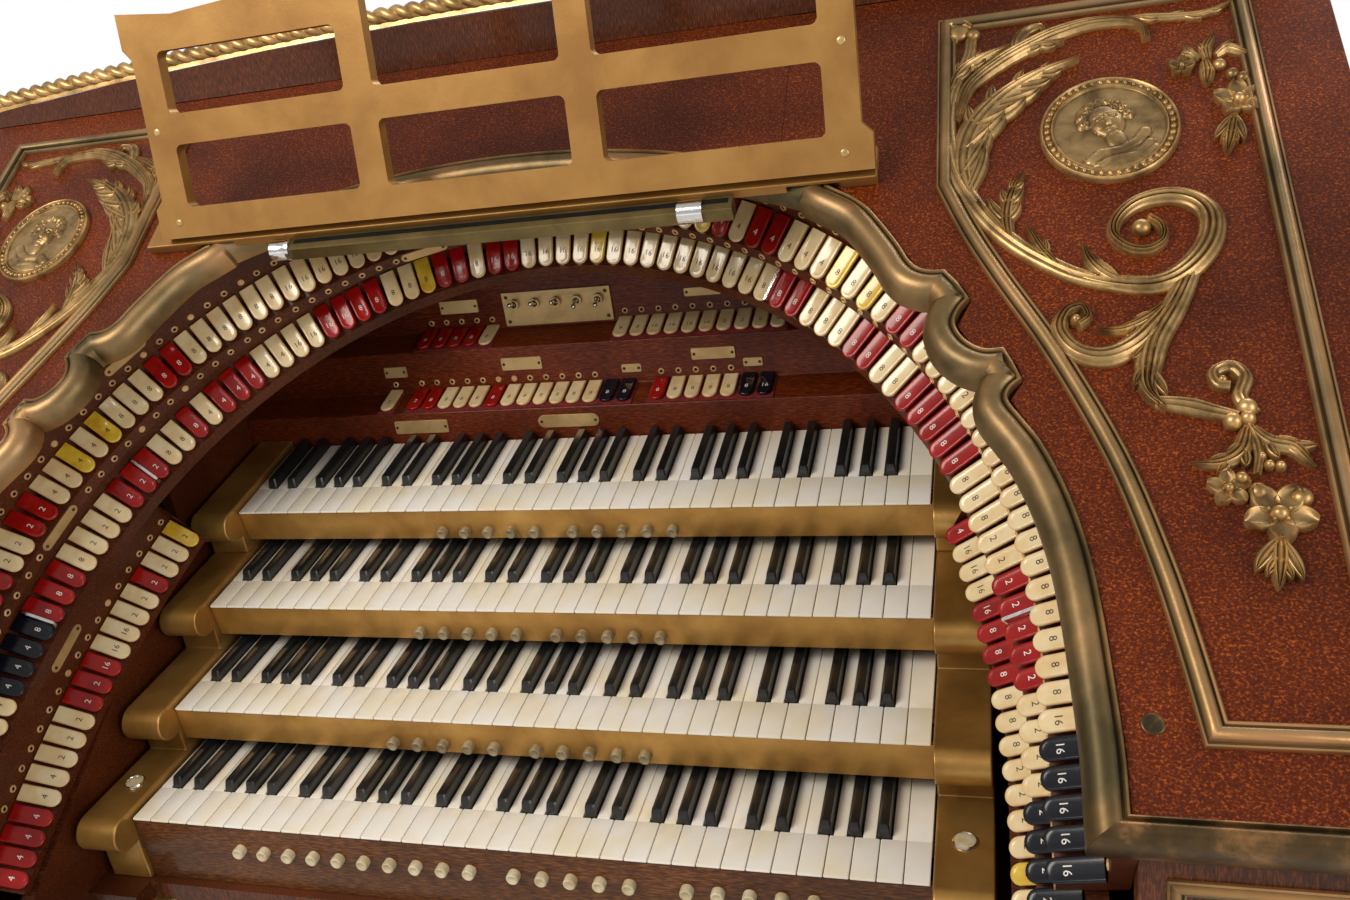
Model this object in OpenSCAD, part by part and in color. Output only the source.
// Four-manual horseshoe theatre organ console, from the floor up.
// The key frame has its origin at the front top edge of the lowest manual's naturals:
// x to the player's right, y away from the player, z up. Lengths are millimetres.

/* [Case] */
// Width over the case sides
case_w = 1600; // [1520:10:1760]
// Height of the lowest manual above the floor
key_height = 876; // [820:2:930]
// How far the arms stand in front of the lowest manual's key fronts
arm_reach = 176; // [150:2:220]
// Distance from the lowest manual's key fronts to the back of the case
case_back = 600; // [560:5:680]
// Thickness of the case sides, back and lower boards
board_t = 24; // [18:1:32]
// Depth of the knee recess behind the lowest manual's key fronts
knee_depth = 230; // [180:5:300]
// Clear half width of the pedal well
well_half = 655; // [650:5:690]
// Depth of the key desk below the lowest manual's key tops
desk_drop = 84; // [70:2:110]
// Height of the plinth
plinth_h = 90; // [60:5:130]
// How far the plinth stands out from the case
plinth_proud = 8; // [4:1:16]

/* [Deck] */
// Slope of the deck and of the stop rows
deck_slope = 33.4; // [28:0.1:38]
// Height of the deck plane above the lowest manual, straight over its key fronts
deck_rise = 355; // [335:1:380]
// Thickness of the deck boards
deck_t = 22; // [16:1:28]
// Width of the moulding round the horseshoe opening
arch_mould_w = 28; // [20:1:34]
// Height of the moulding round the horseshoe opening
arch_mould_h = 8; // [6:1:11]
// Width of the raised frame moulding on each wing
frame_mould_w = 18; // [12:1:24]
// Height of the raised frame moulding above the deck
frame_mould_h = 10; // [6:1:14]
// Rise of the crest at the middle above its ends
crest_rise = 34; // [20:1:50]
// Height of the crest board's ends above the deck's back edge
crest_h = 20; // [12:1:40]
// Diameter of the carved rope along the crest
crest_rope_d = 24; // [16:1:32]

/* [Stop rows] */
// Distance from one stop key to the next
stop_pitch = 21.3; // [20:0.1:24]
// Width of a stop key
stop_w = 18.4; // [16:0.1:19.4]
// Visible length of a stop key
stop_len = 44; // [38:1:50]
// Thickness of a stop key
stop_t = 4; // [3:0.5:6]
// Tilt of the stop keys up from the deck's slope
stop_tilt = 28; // [20:1:36]
// Depth of the outer stop row below the deck plane
outer_row_n = 96; // [90:1:104]
// Depth of the middle stop row below the deck plane
middle_row_n = 162; // [154:1:170]
// Depth of the inner stop row below the deck plane
inner_row_n = 260; // [248:1:272]
// Thickness of the stop rails
rail_t = 15; // [12:1:20]

/* [Manuals] */
// Distance from one natural to the next
natural_pitch = 23.586; // [22.5:0.001:24.5]
// Gap between naturals
key_gap = 0.9; // [0.5:0.1:1.5]
// Length of a natural
natural_len = 150; // [140:1:160]
// Length of a natural's full-width head
head_len = 51.6; // [46:0.1:56]
// Height of a natural
natural_h = 20; // [16:1:24]
// Width of a sharp at its foot
sharp_w = 12.5; // [10:0.1:14]
// Width of a sharp at its top
sharp_top_w = 9.5; // [8:0.1:12]
// Height of a sharp above the naturals
sharp_h = 12; // [9:0.5:13]
// Step from one manual to the next, away from the player
manual_step_y = 103.5; // [98:0.5:110]
// Height of the key bed under the naturals
bed_h = 25; // [20:1:26]
// Diameter of a thumb piston
piston_d = 13; // [11:0.5:15]
// Distance from one thumb piston to the next
piston_pitch = 30; // [26:0.5:34]
// Width of a key cheek
cheek_w = 52; // [46:1:56]
// Radius of the rolled nose of a key cheek
nose_r = 20; // [16:0.5:22]

/* [Music rack and lamp] */
// Width of the music rack over its corner ears
rack_w = 794; // [720:2:860]
// Thickness of the music rack
rack_t = 15; // [12:1:20]
// Lean of the music rack from upright
rack_lean = 7; // [4:0.5:15]
// Height of each lower opening of the music rack
rack_window_h = 68; // [60:1:80]
// Width of the rails and stiles of the music rack
rack_bar = 33; // [28:1:40]
// Outer diameter of the lamp tube
lamp_d = 24; // [20:1:30]
// Length of the lamp tube
lamp_len = 520; // [440:5:600]

/* [Toggle plate] */
// Width of the toggle plate
plate_w = 149; // [140:1:156]
// Height of the toggle plate
plate_h = 45; // [40:1:50]
// Distance from one toggle to the next
toggle_pitch = 29; // [26:0.5:30]
// Swing of a toggle to each side of level
toggle_swing = 14; // [10:1:16]

/* [Pedals] */
// Distance between neighbouring pedal naturals, at the toe end
pedal_pitch = 63.5; // [62:0.5:66]
// Length of a pedal natural
pedal_len = 686; // [640:2:710]
// Radius on which the pedals fan out and rise to the sides
pedal_radius = 2590; // [2400:10:2800]
// Width of a pedal
pedal_w = 22; // [20:1:26]
// Distance from the lowest manual's key fronts to the toe ends of the pedals
pedal_toe_y = 350; // [330:2:380]

/* [Hidden] */
$fn = 48;

half_w = case_w / 2;
slope_c = cos(deck_slope);
slope_s = sin(deck_slope);
front_y = -arm_reach;
pedal_heel_y = pedal_toe_y - pedal_len;
heel_board_t = 36;
frame_front_y = pedal_heel_y - heel_board_t;
mid_y = (frame_front_y + case_back + plinth_proud) / 2;

// Deck coordinates: u runs up the slope, n stands off it. The deck plane is n = 0.
deck_front_u = front_y / slope_c;
deck_back_u = 628;
deck_back_y = deck_back_u * slope_c;
deck_back_z = deck_rise + deck_back_u * slope_s;

// Manuals: place of each front top edge and tilt.
manual_y = [0, manual_step_y + 3.5, 2 * manual_step_y + 4, 3 * manual_step_y - 1];
manual_z = [0, 66, 139, 215];
manual_tilt = [0, 2.8, 6.1, 9.1];
naturals_n = 36;
keys_w = naturals_n * natural_pitch;
// Each sharp of an octave: the natural it follows, and how far it stands off their joint.
sharp_place = [[0, -2.4], [1, 2.4], [3, -3.4], [4, 0], [5, 3.4]];
octaves_n = 5;
naturals_per_octave = 7;
sharp_gap = 0.6;
sharp_len = natural_len - head_len - sharp_gap;
sharp_slot = sharp_w + 2.6;
cheek_x = keys_w / 2 + 2.5;
cheek_end = cheek_x + cheek_w;
cheek_top = 8;
nose_y = 30;
back_gap = 0.4;
backboard_y = manual_y[3] + natural_len * cos(manual_tilt[3]) + natural_h * sin(manual_tilt[3]) + back_gap;

// Stop rows: half width, height of the bend, start of the bend, depth, lower end, of the tips' line.
outer_row = [518, 530, -80, -outer_row_n, -232];
middle_row = [505, 570, -130, -middle_row_n, -262];
inner_row = [493, 735, -200, -inner_row_n, -288];
inner_row_top = 27;
row_steps = 60;
tab_end = stop_len * cos(stop_tilt);

function bend(r, a) = [r[0] * cos(a), r[2] + r[1] * sin(a)];
function row_line(r, a0, a1, n) = [for (i = [0 : n]) bend(r, a0 + (a1 - a0) * i / n)];
function whole_row(r) = concat([[r[0], r[4]]], row_line(r, 0, 180, row_steps), [[-r[0], r[4]]]);
function side_row(r, top) = concat([[r[0], r[4]]], row_line(r, 0, top, row_steps / 4));
function flip(p) = [for (q = p) [-q[0], q[1]]];
function unit(v) = v / norm(v);
function turn_right(v) = [v[1], -v[0]];
function tangent(p, i) = unit(p[min(i + 1, len(p) - 1)] - p[max(i - 1, 0)]);
function run_along(p) = [for (i = 0, s = 0; i < len(p);
    s = s + (i + 1 < len(p) ? norm(p[i + 1] - p[i]) : 0), i = i + 1) s];
function at_run(p, runs, s) = [lookup(s, [for (i = [0 : len(p) - 1]) [runs[i], p[i][0]]]),
    lookup(s, [for (i = [0 : len(p) - 1]) [runs[i], p[i][1]]])];

// Deck opening, right half, from the crown to the front: the edge that the arch moulding covers.
opening_end = 569;
end_run = 40;
crown_r = 790;
crown_top = 455;
crown_end = 350;
crown_steps = 8;
crown_line = [for (i = [0 : crown_steps]) let (x = crown_end * i / crown_steps)
    [x, crown_top - crown_r + sqrt(crown_r * crown_r - x * x)]];
side_line = [[385, 335], [415, 287], [436, 250], [458, 247], [472, 229], [478, 213], [467, 187],
    [478, 168], [494, 158], [504, 160], [513, 143], [517, 127], [507, 110], [517, 90], [530, 65],
    [545, 25], [556, -21], [562, -67], [566, -119], [opening_end, deck_front_u + end_run],
    [opening_end, deck_front_u]];
opening_right = concat(crown_line, side_line);
opening_left = flip(opening_right);
function reversed(p) = [for (i = [len(p) - 1 : -1 : 0]) p[i]];
opening_all = concat(reversed(opening_right), [for (i = [1 : len(opening_left) - 1]) opening_left[i]]);
crown_cut_x = 300;
front_mould_d = 22;

// Frame moulding on the right wing, outer edge, anticlockwise from the front inner corner.
wing_margin = 65;
frame_x = half_w - wing_margin;
frame_in = 450;
frame_low = -166;
frame_top = 583;
frame_right = [[616, frame_low], [frame_x, frame_low], [frame_x, frame_top], [frame_in + 2, frame_top - 3],
    [frame_in, 346], [496, 228], [534, 147], [572, 51], [595, -35], [604, -90]];
// The carving follows the wing's width: 0 is at the frame's inner side, 1 at its outer side.
wing_w = frame_x - frame_in;
function across(t) = frame_in + t * wing_w;
medallion_at = [across(0.53), 399];
medallion_w = 0.414 * wing_w;
medallion_h = 130;
medallion_t = 12;

// Front arm panels and lower case.
arm_notch_z = 128;
soffit_t = 22;
soffit_z = -desk_drop - soffit_t;
soffit_lip = 6;
fit = 0.4;
floor_z = -key_height;
case_top_z = deck_back_z;
back_y = case_back;
side_inner = half_w - board_t;
jamb_x = 492;
jamb_t = 16;
slat_n = 21;
slat_pitch = 45;
slat_w = 27;
slat_h = 110;
knee_slat_y = 34;

function deck_y(u, n) = u * slope_c - n * slope_s;
function deck_z(u, n) = deck_rise + u * slope_s + n * slope_c;
function under_deck(y, n) = deck_rise + n / slope_c + y * tan(deck_slope);

module in_key_frame() {
    translate([0, -mid_y, key_height]) children();
}

module on_deck() {
    in_key_frame() translate([0, 0, deck_rise]) rotate([deck_slope, 0, 0]) children();
}

module on_manual(m) {
    in_key_frame() translate([0, manual_y[m], manual_z[m]]) rotate([manual_tilt[m], 0, 0]) children();
}

module board(x0, x1, y0, y1, z0, z1) {
    translate([x0, y0, z0]) cube([x1 - x0, y1 - y0, z1 - z0]);
}

// A band of flat stock between an edge line and the same line moved sideways.
module band(p, w, z0, z1) {
    inner = [for (i = [0 : len(p) - 1]) p[i] + w * turn_right(tangent(p, i))];
    translate([0, 0, z0]) linear_extrude(z1 - z0) polygon(concat(p, reversed(inner)));
}

// A long piece of one section: profile points are [out from the line, height].
module swept(p, profile) {
    k = len(profile);
    n = len(p);
    points = [for (i = [0 : n - 1]) let (o = turn_right(tangent(p, i)))
        for (q = profile) [p[i][0] + q[0] * o[0], p[i][1] + q[0] * o[1], q[1]]];
    sides = [for (i = [0 : n - 2]) for (j = [0 : k - 1]) for (t = [0, 1])
        let (a = i * k + j, b = i * k + (j + 1) % k)
        t == 0 ? [a, b, b + k] : [a, b + k, a + k]];
    ends = [[for (j = [k - 1 : -1 : 0]) j], [for (j = [0 : k - 1]) (n - 1) * k + j]];
    polyhedron(points, concat(sides, ends), convexity = 10);
}

// Section of a stop rail: a sloping seat for the keys and an upright face behind their roots.
seat_in = 6;
root_clear = 0.4;
seat_out = tab_end + root_clear;
seat_drop = 9;
inner_drop = 6;
inner_rail_t = 8;
function seat_n(r, o, drop) = r[3] - drop + (o - seat_in) * tan(stop_tilt);
function rail_section(r, top, drop, thick) = [[seat_in, seat_n(r, seat_in, drop)],
    [seat_in, seat_n(r, seat_in, drop) - thick], [seat_out + thick, seat_n(r, seat_out, drop) - thick],
    [seat_out + thick, top], [seat_out, top], [seat_out, seat_n(r, seat_out, drop)]];

module stop_key() {
    linear_extrude(stop_t) union() {
        translate([stop_w / 2, 0]) circle(d = stop_w, $fn = 24);
        translate([stop_w / 2, -stop_w / 2]) square([stop_len - stop_w / 2, stop_w]);
    }
}

// Colours down each row, from the right-hand end over the crown to the left-hand end.
outer_colours = "bbbbbccccccccccccccccccrrcacacccrrcracacccrrcbccccbbbccccccccccccccrrcccacaccrrccrracccccbbb";
middle_colours = "bbbbbccccrrrrrcccccrrrrrccrrcccrrccccccccccaccccrrcrraccrrrrccccrrrcrccrrrccccrrrbbbbccccccc";
inner_right_colours = "ccccacccccccrrrrcccr";
inner_left_colours = "rrrrcccccrrrccccrcca";

module row_of_keys(p, r, colours, want, count) {
    runs = run_along(p);
    start = (runs[len(p) - 1] - (count - 1) * stop_pitch) / 2;
    for (i = [0 : count - 1])
        if (colours[i % len(colours)] == want) {
            s = start + i * stop_pitch;
            q = at_run(p, runs, s);
            d = at_run(p, runs, s + 1) - at_run(p, runs, s - 1);
            o = turn_right(unit(d));
            translate([q[0], q[1], r[3]]) rotate([0, 0, atan2(o[1], o[0])])
                rotate([0, -stop_tilt, 0]) stop_key();
        }
}

function count_on(p) = let (runs = run_along(p)) floor((runs[len(p) - 1] - 4) / stop_pitch) + 1;

module horseshoe_keys(want) {
    outer = whole_row(outer_row);
    middle = whole_row(middle_row);
    inner = side_row(inner_row, inner_row_top);
    on_deck() {
        row_of_keys(outer, outer_row, outer_colours, want, count_on(outer));
        row_of_keys(middle, middle_row, middle_colours, want, count_on(middle));
        row_of_keys(inner, inner_row, inner_right_colours, want, count_on(inner));
        mirror([1, 0, 0]) row_of_keys(inner, inner_row, inner_left_colours, want, count_on(inner));
    }
}

// The backboard rises in three faces with a sloping ledge between: the straight rows lie on the ledges.
step_d = 46;
step_z = [279, 347];
straight_tilt = 14;
straight_pitch = 22.3;
straight_lift = 3;
function face_y(i) = backboard_y + i * step_d;

// Straight rows: ledge, centre of the first key, colours.
straight_rows = [[1, -229, "rrrrc"], [1, 45, "cccccccccc"], [0, -277, "c"], [0, -238, "rrcccrccccccbb"],
    [0, 95, "rccccbb"]];

module straight_keys(want) {
    root_y = stop_len * cos(straight_tilt) + root_clear;
    for (row = straight_rows)
        for (i = [0 : len(row[2]) - 1])
            if (row[2][i] == want)
                in_key_frame() translate([row[1] + i * straight_pitch, face_y(row[0] + 1) - root_y,
                    step_z[row[0]] + straight_lift])
                    rotate([straight_tilt, 0, 0]) rotate([0, 0, 90]) stop_key();
}

module plinth() {
    out = half_w + plinth_proud;
    color("saddlebrown") in_key_frame() difference() {
        board(-out, out, front_y - plinth_proud, back_y + plinth_proud, floor_z, floor_z + plinth_h);
        board(-well_half, well_half, front_y - 2 * plinth_proud, back_y - board_t, floor_z - 1,
            floor_z + plinth_h + 1);
    }
}

// Outline of a case side in y and z, up to the underside of the deck.
function side_outline() = [[front_y, floor_z + plinth_h], [back_y, floor_z + plinth_h],
    [back_y, case_top_z], [deck_back_y, case_top_z], [deck_y(deck_back_u, -deck_t), deck_z(deck_back_u, -deck_t)],
    [front_y, deck_z(deck_front_u, 0) - deck_t / slope_c]];

module case_side() {
    in_key_frame() translate([side_inner, 0, 0]) rotate([90, 0, 90]) linear_extrude(board_t)
        polygon(side_outline());
}

module side_right() {
    color("sienna") case_side();
}

module side_left() {
    color("sienna") mirror([1, 0, 0]) case_side();
}

module back_panel() {
    color("sienna") in_key_frame()
        board(-side_inner, side_inner, back_y - board_t, back_y, floor_z + plinth_h, case_top_z);
}

module lower_front() {
    in_key_frame() {
        board(well_half, side_inner, front_y, front_y + board_t, floor_z + plinth_h, soffit_z);
        board(well_half, well_half + board_t, front_y + board_t, knee_depth, floor_z + plinth_h, soffit_z);
    }
}

module lower_front_right() {
    color("sienna") lower_front();
}

module lower_front_left() {
    color("sienna") mirror([1, 0, 0]) lower_front();
}

shoe_n = 4;
shoe_w = 92;
shoe_gap = 20;
shoe_z = 230;
shoe_h = 250;
shoe_t = 16;
shoe_lean = 20;
shoe_shaft_d = 10;
shoe_open_half = (shoe_n * shoe_w + (shoe_n + 1) * shoe_gap) / 2;

module kneeboard() {
    low = floor_z + shoe_z - 40;
    color("sienna") in_key_frame() difference() {
        board(-side_inner, side_inner, knee_depth, knee_depth + board_t, floor_z + plinth_h, soffit_z);
        board(-well_half, well_half, knee_depth - 1, knee_depth + board_t + 1, floor_z + plinth_h - 1, low);
        board(-shoe_open_half, shoe_open_half, knee_depth - 1, knee_depth + board_t + 1,
            low - 1, floor_z + shoe_z + shoe_h + shoe_gap);
    }
}

module knee_slats() {
    color("saddlebrown") in_key_frame() for (i = [0 : slat_n - 1])
        translate([(i - (slat_n - 1) / 2) * slat_pitch - slat_w / 2, knee_slat_y, soffit_z - slat_h])
            cube([slat_w, board_t / 2, slat_h]);
}

// The floor of the key desk: out to the arms' fronts at the sides, and to the key slip between.
module desk_soffit() {
    half = [[side_inner, front_y], [jamb_x, front_y], [jamb_x, -nose_y], [cheek_x, -nose_y], [cheek_x, -soffit_lip]];
    color("saddlebrown") in_key_frame() translate([0, 0, soffit_z]) linear_extrude(soffit_t)
        polygon(concat(half, reversed(flip(half)),
            [[-side_inner, knee_depth + board_t], [side_inner, knee_depth + board_t]]));
}

arm_x = outer_row[0] + seat_out + rail_t + fit;

module arm_front() {
    top = deck_z(deck_front_u, 0) - deck_t / slope_c;
    in_key_frame() translate([0, front_y + board_t, 0]) rotate([90, 0, 0]) linear_extrude(board_t)
        polygon([[jamb_x, -desk_drop], [side_inner, -desk_drop], [side_inner, top], [arm_x, top],
            [arm_x, arm_notch_z], [jamb_x, arm_notch_z - (arm_x - jamb_x) * 2]]);
}

module arm_front_right() {
    color("sienna") arm_front();
}

module arm_front_left() {
    color("sienna") mirror([1, 0, 0]) arm_front();
}

// Side wall of the key well: low under the inner stop rail, high behind the rail's end.
module jamb() {
    low_n = seat_n(inner_row, seat_in, inner_drop) - inner_rail_t - 1;
    high_n = -3 * deck_t;
    gate_y = manual_y[3] - nose_y + 1;
    toe_y = front_y + board_t + fit;
    in_key_frame() translate([jamb_x, 0, 0]) rotate([90, 0, 90]) linear_extrude(jamb_t)
        polygon([[toe_y, under_deck(toe_y, low_n)], [toe_y, -desk_drop], [face_y(2), -desk_drop], [face_y(2), under_deck(face_y(2), high_n)],
            [gate_y, under_deck(gate_y, high_n)], [gate_y, under_deck(gate_y, low_n)]]);
}

module jamb_right() {
    color("saddlebrown") jamb();
}

module jamb_left() {
    color("saddlebrown") mirror([1, 0, 0]) jamb();
}

module deck_board() {
    corner = [[half_w, deck_front_u], [half_w, deck_back_u], [crown_cut_x, deck_back_u]];
    edge = [for (q = opening_right) if (q[0] > crown_cut_x) q];
    on_deck() translate([0, 0, -deck_t]) linear_extrude(deck_t)
        polygon(concat(edge, corner, [[crown_cut_x, crown_top - crown_r + sqrt(crown_r * crown_r
            - crown_cut_x * crown_cut_x)]]));
}

module deck_right() {
    color("firebrick") deck_board();
}

module deck_left() {
    color("firebrick") mirror([1, 0, 0]) deck_board();
}

module deck_crown() {
    right = [for (q = crown_line) if (q[0] < crown_cut_x) q];
    cut = [crown_cut_x, crown_top - crown_r + sqrt(crown_r * crown_r - crown_cut_x * crown_cut_x)];
    half = concat(right, [cut]);
    color("firebrick") on_deck() translate([0, 0, -deck_t]) linear_extrude(deck_t)
        polygon(concat(reversed(flip(half)), half, [[crown_cut_x, deck_back_u], [-crown_cut_x, deck_back_u]]));
}

// The crest: an arc that rises to the middle of the case.
crest_r = (half_w * half_w + crest_rise * crest_rise) / (2 * crest_rise);
crest_base = deck_back_z + crest_h;
crest_t = 22;

module crest_board() {
    color("sienna") in_key_frame() {
        translate([0, deck_back_y + crest_t, 0]) rotate([90, 0, 0]) linear_extrude(crest_t)
            intersection() {
                translate([-half_w, case_top_z]) square([case_w, crest_h + crest_rise]);
                translate([0, crest_base + crest_rise - crest_r]) circle(r = crest_r, $fn = 1440);
            }
        board(-half_w, half_w, deck_back_y + crest_t, back_y, case_top_z, case_top_z + crest_t);
    }
}

module crest_rope() {
    sweep = asin(half_w / crest_r);
    color("goldenrod") in_key_frame()
        translate([0, deck_back_y + crest_t / 2, crest_base + crest_rise - crest_r])
            rotate([90, 0, 0]) rotate([0, 0, 90 - sweep])
                rotate_extrude(angle = 2 * sweep, $fn = 1440)
                    translate([crest_r + crest_rope_d / 2, 0]) circle(d = crest_rope_d, $fn = 24);
}

module arch_moulding() {
    color("goldenrod") on_deck() band(reversed(opening_all), arch_mould_w, -deck_t, arch_mould_h);
}

module frame_moulding() {
    n = len(frame_right);
    inner = [for (i = [0 : n - 1]) let (a = unit(frame_right[i] - frame_right[(i + n - 1) % n]),
        b = unit(frame_right[(i + 1) % n] - frame_right[i]), m = unit(turn_right(a) + turn_right(b)))
        frame_right[i] - m * frame_mould_w / (m * turn_right(a))];
    on_deck() linear_extrude(frame_mould_h) difference() {
        polygon(frame_right);
        polygon(inner);
    }
}

module frame_mouldings() {
    color("goldenrod") {
        frame_moulding();
        mirror([1, 0, 0]) frame_moulding();
    }
}

// Moulding along the front edge of each wing, from the horseshoe opening to the case side.
module front_moulding() {
    on_deck() translate([opening_end - arch_mould_w, deck_front_u - front_mould_d, -deck_t])
        cube([half_w - opening_end + arch_mould_w, front_mould_d, deck_t + arch_mould_h]);
}

module front_mouldings() {
    color("goldenrod") {
        front_moulding();
        mirror([1, 0, 0]) front_moulding();
    }
}

module medallion() {
    steps = 48;
    on_deck() translate(concat(medallion_at, 0)) linear_extrude(medallion_t)
        polygon([for (i = [0 : steps - 1]) [medallion_w / 2 * cos(360 * i / steps),
            medallion_h / 2 * sin(360 * i / steps)]]);
}

module medallions() {
    color("goldenrod") {
        medallion();
        mirror([1, 0, 0]) medallion();
    }
}

// Carved scroll, right wing: a leafy stem, a big spiral and a drop of flowers.
stem_line = [[across(0.084), 560], [across(0.098), 500], [across(0.112), 440], [across(0.175), 380],
    [across(0.28), 320], [across(0.44), 288], [across(0.61), 290]];
drop_line = [[across(0.667), 235], [across(0.604), 190], [across(0.653), 150], [across(0.765), 140],
    [across(0.842), 105], [across(0.818), 60], [across(0.793), 0]];
spiral_at = [across(0.6), 284];
spiral_r = 0.158 * wing_w;
flower_at = [across(0.8), 30];
flower_r = 0.112 * wing_w;
stem_w = 0.091 * wing_w;
scroll_t = 12;

module scroll() {
    on_deck() {
        band(reversed(stem_line), stem_w, 0, scroll_t);
        band(reversed(drop_line), stem_w, 0, scroll_t);
        translate(concat(spiral_at, 0)) difference() {
            cylinder(r = spiral_r, h = scroll_t);
            translate([0, 0, -1]) cylinder(r = spiral_r / 2, h = scroll_t + 2);
        }
        translate(concat(flower_at, 0)) cylinder(r = flower_r, h = scroll_t);
    }
}

module scrolls() {
    color("darkgoldenrod") {
        scroll();
        mirror([1, 0, 0]) scroll();
    }
}

module stop_rail_outer() {
    color("saddlebrown") on_deck() swept(whole_row(outer_row), rail_section(outer_row, -deck_t, seat_drop, rail_t));
}

module stop_rail_middle() {
    top = seat_n(outer_row, seat_in, seat_drop) - rail_t - 1;
    color("saddlebrown") on_deck() swept(whole_row(middle_row), rail_section(middle_row, top, seat_drop, rail_t));
}

module inner_rail() {
    top = seat_n(middle_row, seat_out, seat_drop) - rail_t - 12;
    swept(side_row(inner_row, inner_row_top), rail_section(inner_row, top, inner_drop, inner_rail_t));
}

module stop_rail_inner() {
    color("saddlebrown") on_deck() {
        inner_rail();
        mirror([1, 0, 0]) inner_rail();
    }
}

module stop_keys(want) {
    horseshoe_keys(want);
    straight_keys(want);
}

module stop_keys_cream() {
    color("cornsilk") stop_keys("c");
}

module stop_keys_red() {
    color("crimson") stop_keys("r");
}

module stop_keys_amber() {
    color("gold") stop_keys("a");
}

module stop_keys_black() {
    color("black") stop_keys("b");
}

backboard_t = 18;
backboard_low = 150;
backboard_top = 520;

module backboard() {
    rise = step_d * tan(straight_tilt);
    front = [[backboard_y, backboard_low], [backboard_y, step_z[0]], [face_y(1), step_z[0] + rise],
        [face_y(1), step_z[1]], [face_y(2), step_z[1] + rise], [face_y(2), backboard_top]];
    back = [for (q = reversed(front)) [q[0] + backboard_t, q[1] - (q[1] == step_z[0] || q[1] == step_z[1]
        || q[1] == step_z[0] + rise || q[1] == step_z[1] + rise ? backboard_t : 0)]];
    color("saddlebrown") in_key_frame() translate([-jamb_x, 0, 0]) rotate([90, 0, 90])
        linear_extrude(2 * jamb_x) polygon(concat(front, back));
}

// Plates on the backboard: face, middle, height of the middle, width, height.
plates = [[0, -21, 261, 82, 17], [0, -227, 260, 77, 18], [1, -273, 321, 33, 15], [1, -90, 324, 56, 17],
    [1, 57, 310, 26, 11], [1, 164, 324, 55, 15], [1, 212, 310, 24, 11], [2, -184, 392, 55, 18],
    [2, 149, 390, 47, 11]];
plate_t = 1.5;

module name_plates() {
    color("peru") in_key_frame() for (p = plates)
        translate([p[1] - p[3] / 2, face_y(p[0]) - plate_t, p[2] - p[4] / 2]) cube([p[3], plate_t, p[4]]);
}

toggle_plate_x = -45;
toggle_plate_z = 384;
toggle_plate_t = 3;
toggle_drum_d = 6.4;
toggle_drum_w = 5;
toggle_hole_d = 8.6;
toggle_sink = 3;
lever_root_d = 4;
lever_tip_d = 6;
lever_len = 15;
toggle_n = 5;
bush_d = 14;
bush_t = 5;
toggle_z = toggle_plate_z + 7;

module toggle_plate() {
    color("peru") in_key_frame() translate([0, face_y(2), 0]) rotate([90, 0, 0]) difference() {
        union() {
            translate([toggle_plate_x - plate_w / 2, toggle_plate_z - plate_h / 2, 0])
                cube([plate_w, plate_h, toggle_plate_t]);
            for (i = [0 : toggle_n - 1])
                translate([toggle_plate_x + (i - 2) * toggle_pitch, toggle_z, 0])
                    cylinder(d = bush_d, h = toggle_plate_t + bush_t, $fn = 32);
        }
        for (i = [0 : toggle_n - 1])
            translate([toggle_plate_x + (i - 2) * toggle_pitch, toggle_z, -1])
                cylinder(d = toggle_hole_d, h = toggle_plate_t + bush_t + 2, $fn = 32);
    }
}

module toggle(i) {
    tilt = i < 3 ? toggle_swing : -toggle_swing;
    color("silver") in_key_frame()
        translate([toggle_plate_x + (i - 2) * toggle_pitch, face_y(2) - toggle_plate_t - bush_t + toggle_sink, toggle_z])
            rotate([90 - tilt, 0, 0]) {
                rotate([0, 90, 0]) cylinder(d = toggle_drum_d, h = toggle_drum_w, center = true, $fn = 32);
                cylinder(d1 = lever_root_d, d2 = lever_tip_d, h = lever_len, $fn = 24);
                translate([0, 0, lever_len]) sphere(d = lever_tip_d, $fn = 24);
            }
}

module toggle_1() { toggle(0); }
module toggle_2() { toggle(1); }
module toggle_3() { toggle(2); }
module toggle_4() { toggle(3); }
module toggle_5() { toggle(4); }

module sharp_slots() {
    for (o = [0 : octaves_n - 1])
        for (s = sharp_place)
            translate([-keys_w / 2 + (o * naturals_per_octave + s[0] + 1) * natural_pitch + s[1] - sharp_slot / 2,
                head_len, -natural_h - 1])
                cube([sharp_slot, natural_len, natural_h + 2]);
}

module naturals(m) {
    color("ivory") on_manual(m) difference() {
        for (i = [0 : naturals_n - 1])
            translate([-keys_w / 2 + i * natural_pitch + key_gap / 2, 0, -natural_h])
                cube([natural_pitch - key_gap, natural_len, natural_h]);
        sharp_slots();
    }
}

module naturals_1() { naturals(0); }
module naturals_2() { naturals(1); }
module naturals_3() { naturals(2); }
module naturals_4() { naturals(3); }

module sharp_key() {
    side = (sharp_w - sharp_top_w) / 2;
    rotate([90, 0, 0]) translate([0, 0, -sharp_len]) linear_extrude(sharp_len)
        polygon([[-sharp_w / 2, -natural_h], [sharp_w / 2, -natural_h], [sharp_w / 2, 0],
            [sharp_w / 2 - side, sharp_h], [side - sharp_w / 2, sharp_h], [-sharp_w / 2, 0]]);
}

module sharps(m) {
    color("black") on_manual(m) for (o = [0 : octaves_n - 1]) for (s = sharp_place)
        translate([-keys_w / 2 + (o * naturals_per_octave + s[0] + 1) * natural_pitch + s[1],
            natural_len - sharp_len, 0]) sharp_key();
}

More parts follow.
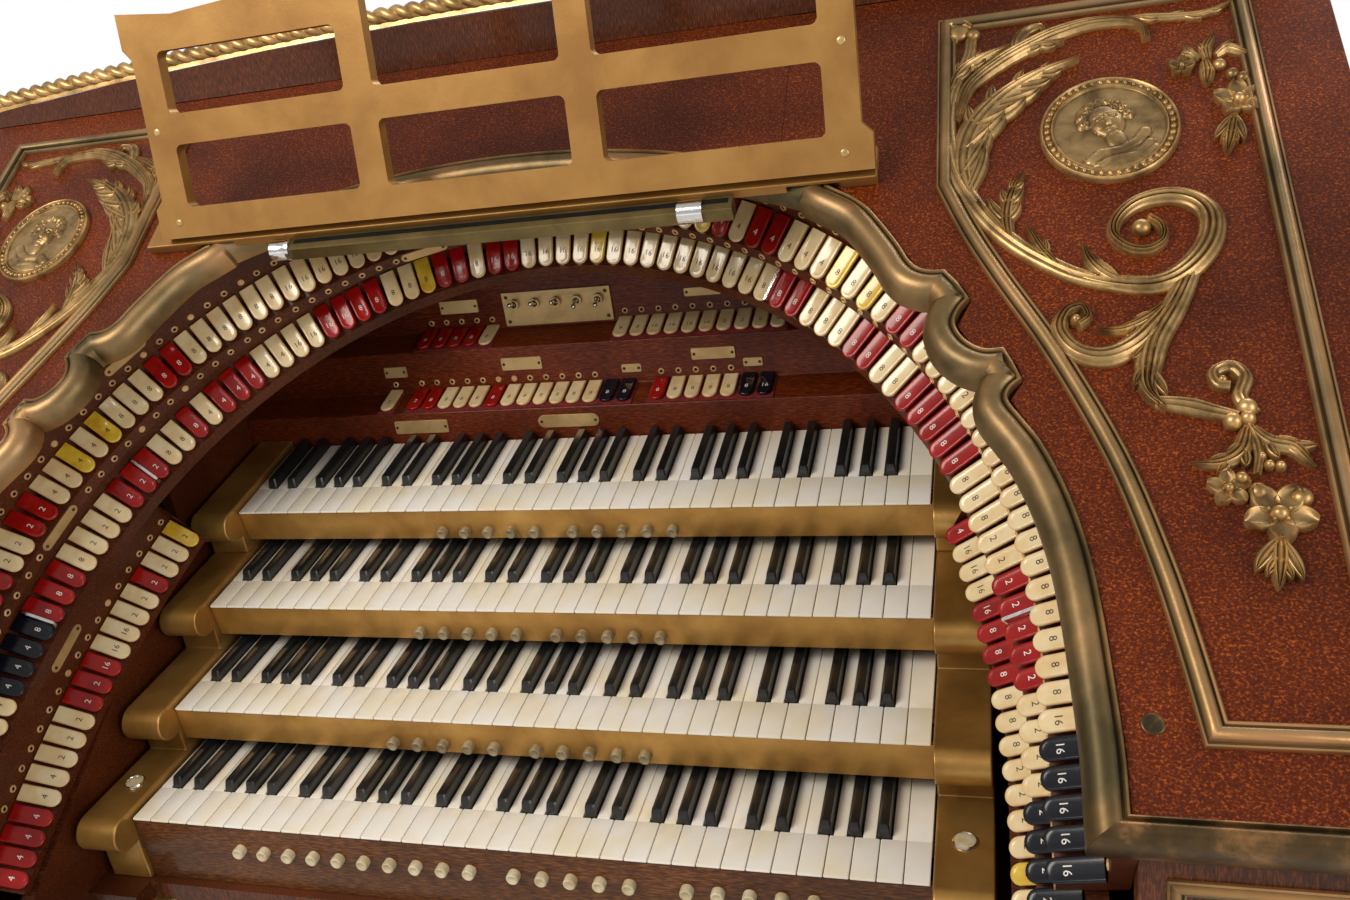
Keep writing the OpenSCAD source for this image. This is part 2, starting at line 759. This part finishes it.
module sharps_1() { sharps(0); }
module sharps_2() { sharps(1); }
module sharps_3() { sharps(2); }
module sharps_4() { sharps(3); }

bed_front = 4;
bed_back = 8;

module key_beds() {
    color("darkgoldenrod") for (m = [0 : 3]) on_manual(m)
        board(-keys_w / 2 - 2, keys_w / 2 + 2, bed_front, natural_len - bed_back, -natural_h - (m == 0 ? desk_drop - natural_h : bed_h),
            -natural_h);
}

// Thumb pistons on each slip: first, last, in pitches from the middle.
piston_rows = [[[-8.5, 0.5], [2.1, 6.1], [8, 12]], [[-3.6, 0.4], [2, 6]], [[-3.6, 0.4], [2, 6]], [[-3.6, 0.4], [2, 6]]];
piston_out = 9;
piston_shift = 40;
piston_z = -natural_h - 13;

module pistons() {
    color("cornsilk") for (m = [0 : 3]) on_manual(m) for (g = piston_rows[m]) for (k = [g[0] : g[1] + 0.01])
        translate([k * piston_pitch - piston_shift, bed_front, piston_z]) rotate([90, 0, 0])
            cylinder(d = piston_d, h = piston_out, $fn = 24);
}

function cheek_line(m, y) = manual_z[m] + cheek_top + (y - manual_y[m]) * tan(manual_tilt[m]);

// A key cheek is a board with a rolled nose. Under the nose it steps back to just in front of the key bed.
module cheek(m) {
    y0 = manual_y[m] - nose_y + nose_r;
    y1 = backboard_y;
    step_y = manual_y[m] - 1;
    low0 = m == 0 ? -desk_drop : cheek_line(m - 1, step_y);
    low1 = m == 0 ? -desk_drop : cheek_line(m - 1, y1);
    nose_z = cheek_line(m, y0) - nose_r;
    in_key_frame() translate([cheek_x, 0, 0]) rotate([90, 0, 90]) linear_extrude(cheek_w) {
        polygon([[step_y, low0], [y1, low1], [y1, cheek_line(m, y1)], [y0, nose_z + nose_r],
            [y0, nose_z - nose_r], [step_y, nose_z - nose_r]]);
        translate([y0, nose_z]) circle(r = nose_r, $fn = 64);
    }
}

module key_cheeks_right() {
    color("darkgoldenrod") for (m = [0 : 3]) cheek(m);
}

module key_cheeks_left() {
    color("darkgoldenrod") mirror([1, 0, 0]) for (m = [0 : 3]) cheek(m);
}

corbel_h = 150;
corbel_d = 62;
// The corbel's front edge: forward and down, as shares of its depth and height.
corbel_line = [[0, 0], [1, 0], [1, 0.17], [0.71, 0.35], [0.48, 0.49], [0.35, 0.73], [0.13, 1], [0, 1]];

module corbel() {
    in_key_frame() translate([cheek_x, 0, 0]) rotate([90, 0, 90]) linear_extrude(cheek_w)
        polygon([for (q = corbel_line) [knee_slat_y - corbel_d * q[0], soffit_z - corbel_h * q[1]]]);
}

module corbels() {
    color("goldenrod") {
        corbel();
        mirror([1, 0, 0]) corbel();
    }
}

// Music rack: in its own plane, origin at the middle of its bottom edge.
rack_u = 371;
ledge_t = 12;
rack_y = deck_y(rack_u, ledge_t);
rack_z = deck_z(rack_u, ledge_t);
rack_low = 33;
mid_window_w = 206;
ear = 10;
window_w = rack_w / 2 - ear - 2 * rack_bar - mid_window_w / 2;
upper_window_h = 66;
rack_end_h = 244;
rack_mid_h = 290;
ear_h = 38;
ear_step = 12;
rack_shoulder = 70;
top_dip = 8;
window_r = 7;

module on_rack() {
    in_key_frame() translate([0, rack_y, rack_z]) rotate([90 - rack_lean, 0, 0]) children();
}

module rack_outline() {
    half = rack_w / 2;
    steps = 10;
    rise = rack_mid_h - rack_end_h;
    top = [for (i = [0 : steps]) let (t = i / steps, x = (half - rack_shoulder) * (1 - 2 * t))
        [x, rack_end_h - top_dip + rise * (1 + cos(180 * x / (half - rack_shoulder))) / 2]];
    polygon(concat([[-half, 0], [half, 0], [half, rack_low], [half - ear, rack_low + ear],
        [half - ear, rack_end_h - ear_h - ear_step], [half, rack_end_h - ear_h], [half, rack_end_h]], top,
        [[-half, rack_end_h], [-half, rack_end_h - ear_h], [-half + ear, rack_end_h - ear_h - ear_step],
        [-half + ear, rack_low + ear], [-half, rack_low]]));
}

module rack_window(x0, w, y0, h) {
    r = window_r;
    for (x = [x0 + r, x0 + w - r]) for (y = [y0 + r, y0 + h - r]) translate([x, y]) circle(r = r, $fn = 32);
    translate([x0 + r, y0]) square([w - 2 * r, h]);
    translate([x0, y0 + r]) square([w, h - 2 * r]);
}

module music_rack() {
    up = rack_low + rack_window_h + rack_bar;
    color("peru") on_rack() linear_extrude(rack_t) difference() {
        rack_outline();
        rack_window(-mid_window_w / 2, mid_window_w, rack_low, rack_window_h);
        rack_window(-mid_window_w / 2, mid_window_w, up, upper_window_h + rack_mid_h - rack_end_h);
        for (s = [-1, 1]) {
            x0 = s * (mid_window_w / 2 + rack_bar + window_w / 2) - window_w / 2;
            rack_window(x0, window_w, rack_low, rack_window_h);
            rack_window(x0, window_w, up, upper_window_h);
        }
    }
}

ledge_d = 40;
ledge_u = 360;
ledge_out = 30;

module rack_ledge() {
    color("peru") on_deck() difference() {
        translate([-rack_w / 2 - ledge_out, ledge_u, 0]) cube([rack_w + ledge_out, ledge_d, ledge_t]);
        band(reversed(opening_all), arch_mould_w, -deck_t, arch_mould_h);
        band(reversed(opening_all), -1, -deck_t, arch_mould_h);
    }
}

lamp_u = ledge_u - lamp_d / 2;
cap_w = 26;

module on_lamp(x) {
    on_deck() translate([x, lamp_u, 0]) rotate([0, 90, 0]) children();
}

module rack_lamp() {
    color("darkgoldenrod") on_lamp(-lamp_len / 2 + cap_w) cylinder(d = lamp_d, h = lamp_len - cap_w);
}

module lamp_caps() {
    color("silver") on_lamp(-lamp_len / 2) cylinder(d = lamp_d, h = cap_w);
}

// Pedals: 19 naturals and 13 sharps that fan out from a centre behind the player.
pedal_naturals_n = 19;
pedal_sharp_after = [0, 1, 3, 4, 5, 7, 8, 10, 11, 12, 14, 15, 17];
pedal_h = 30;
pedal_low = 60;
pedal_sharp_len = 150;
pedal_sharp_h = 26;
pedal_step = pedal_pitch / pedal_radius * 180 / PI;
pedal_side_gap = 12;
well_clear = 0.4;

module pedal_place(k) {
    a = (k - (pedal_naturals_n - 1) / 2) * pedal_step;
    rise = pedal_radius * (1 - cos(a));
    in_key_frame() translate([0, pedal_toe_y - pedal_radius, floor_z + pedal_low + rise]) rotate([0, 0, -a])
        translate([0, pedal_radius, 0]) children();
}

// The space between the toe board and the heel board that the pedals fill.
module pedal_bed() {
    in_key_frame() board(-case_w, case_w, pedal_heel_y, pedal_toe_y, floor_z, 0);
}

module pedal_bar(len, h) {
    translate([-pedal_w / 2, -len, 0]) cube([pedal_w, len + pedal_len / 5, h]);
}

module pedal_naturals() {
    color("burlywood") intersection() {
        union() {
            for (k = [0 : pedal_naturals_n - 1])
                pedal_place(k) pedal_bar(pedal_len, pedal_h);
        }
        pedal_bed();
    }
}

module pedal_sharps() {
    color("black") intersection() {
        union() {
            for (k = pedal_sharp_after)
                pedal_place(k + 0.5) pedal_bar(pedal_sharp_len - pedal_len / 40 * abs(k - 8.5) / 4, pedal_h + pedal_sharp_h);
        }
        pedal_bed();
    }
}

module pedal_frame() {
    half = pedal_radius * tan((pedal_naturals_n - 1) / 2 * pedal_step) + pedal_w + pedal_side_gap;
    rail = well_half - half - well_clear;
    end_rise = pedal_radius * (1 - cos((pedal_naturals_n - 1) / 2 * pedal_step));
    top = floor_z + pedal_low + pedal_h + end_rise;
    bowl_z = floor_z + pedal_low + pedal_h + 4 + pedal_radius;
    color("sienna") in_key_frame() difference() {
        board(-half - rail, half + rail, frame_front_y, pedal_toe_y + heel_board_t, floor_z, top);
        board(-half, half, pedal_heel_y, pedal_toe_y, floor_z - 1, top + 1);
        translate([0, frame_front_y - 1, bowl_z]) rotate([-90, 0, 0])
            cylinder(r = pedal_radius, h = pedal_len + 2 * heel_board_t + 2, $fn = 720);
    }
}

module swell_shoes() {
    shaft_z = floor_z + shoe_z + shoe_h / 2;
    color("dimgray") in_key_frame() {
        for (i = [0 : shoe_n - 1])
            translate([(i - (shoe_n - 1) / 2) * (shoe_w + shoe_gap), knee_depth + board_t / 2, shaft_z])
                rotate([-shoe_lean, 0, 0]) translate([-shoe_w / 2, -shoe_t / 2, -shoe_h / 2])
                    cube([shoe_w, shoe_t, shoe_h]);
        translate([-shoe_open_half, knee_depth + board_t / 2, shaft_z]) rotate([0, 90, 0])
            cylinder(d = shoe_shaft_d, h = 2 * shoe_open_half);
    }
}

plinth();
side_left();
side_right();
back_panel();
lower_front_left();
lower_front_right();
kneeboard();
knee_slats();
desk_soffit();
arm_front_left();
arm_front_right();
jamb_left();
jamb_right();
deck_left();
deck_right();
deck_crown();
crest_board();
crest_rope();
arch_moulding();
frame_mouldings();
front_mouldings();
medallions();
scrolls();
stop_rail_outer();
stop_rail_middle();
stop_rail_inner();
stop_keys_cream();
stop_keys_red();
stop_keys_amber();
stop_keys_black();
backboard();
name_plates();
toggle_plate();
toggle_1();
toggle_2();
toggle_3();
toggle_4();
toggle_5();
naturals_1();
naturals_2();
naturals_3();
naturals_4();
sharps_1();
sharps_2();
sharps_3();
sharps_4();
key_beds();
pistons();
key_cheeks_left();
key_cheeks_right();
corbels();
music_rack();
rack_ledge();
rack_lamp();
lamp_caps();
pedal_frame();
pedal_naturals();
pedal_sharps();
swell_shoes();
